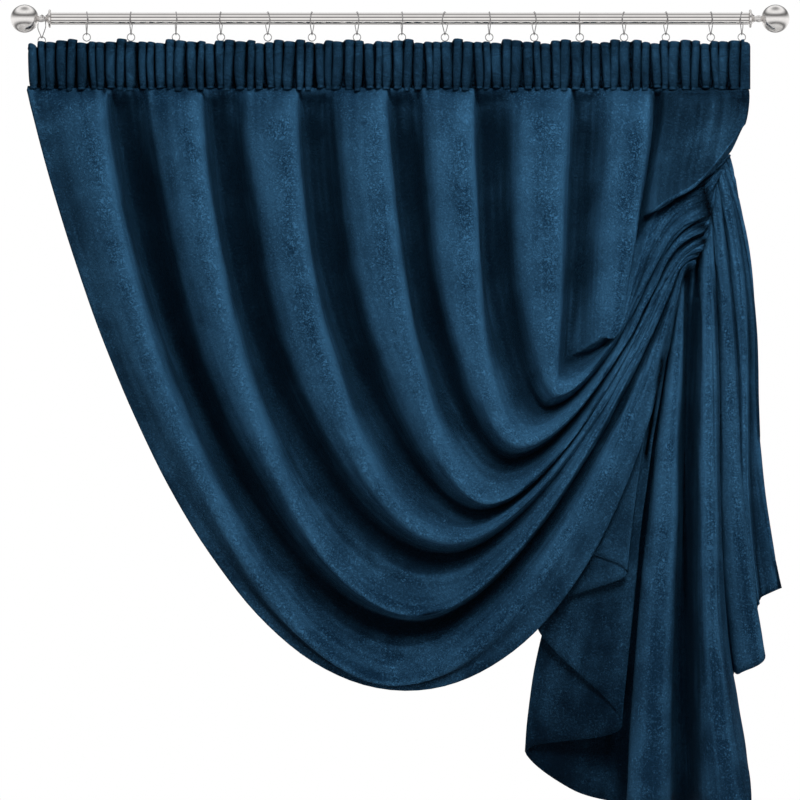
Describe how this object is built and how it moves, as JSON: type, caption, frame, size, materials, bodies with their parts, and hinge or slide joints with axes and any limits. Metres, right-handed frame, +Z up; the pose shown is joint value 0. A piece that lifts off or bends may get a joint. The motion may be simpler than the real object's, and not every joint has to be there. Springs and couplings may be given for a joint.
{
  "type": "velvet drape with tieback on a curtain rod",
  "caption": "Plush velvet window drape with a pencil-pleat heading, hung by wire rings on a steel rod and swept to one side over a tieback arm, with a cascading tail.",
  "frame": {"origin": "middle of the curtain rod's axis", "axes": "+Z up, +X along the rod to the right as seen from the room, +Y towards the wall; the cloth's face looks to -Y"},
  "size_m": [1.231, 0.1672, 1.2897],
  "materials": {
    "velvet": "deep teal-blue plush pile",
    "steel": "polished satin steel",
    "ring_wire": "bright wire"
  },
  "bodies": {
    "root": {"rod": "steel", "finial-left": "steel", "finial-right": "steel", "ring-01": "ring_wire", "ring-02": "ring_wire", "ring-03": "ring_wire", "ring-04": "ring_wire", "ring-05": "ring_wire", "ring-06": "ring_wire", "ring-07": "ring_wire", "ring-08": "ring_wire", "ring-09": "ring_wire", "ring-10": "ring_wire", "ring-11": "ring_wire", "ring-12": "ring_wire", "ring-13": "ring_wire", "ring-14": "ring_wire", "ring-15": "ring_wire", "ring-16": "ring_wire", "ring-17": "ring_wire", "eye-01": "ring_wire", "eye-02": "ring_wire", "eye-03": "ring_wire", "eye-04": "ring_wire", "eye-05": "ring_wire", "eye-06": "ring_wire", "eye-07": "ring_wire", "eye-08": "ring_wire", "eye-09": "ring_wire", "eye-10": "ring_wire", "eye-11": "ring_wire", "eye-12": "ring_wire", "eye-13": "ring_wire", "eye-14": "ring_wire", "eye-15": "ring_wire", "eye-16": "ring_wire", "eye-17": "ring_wire", "heading": "velvet", "panel": "velvet", "tieback-arm": "steel", "tieback-plate": "steel"}
  },
  "joints": []
}
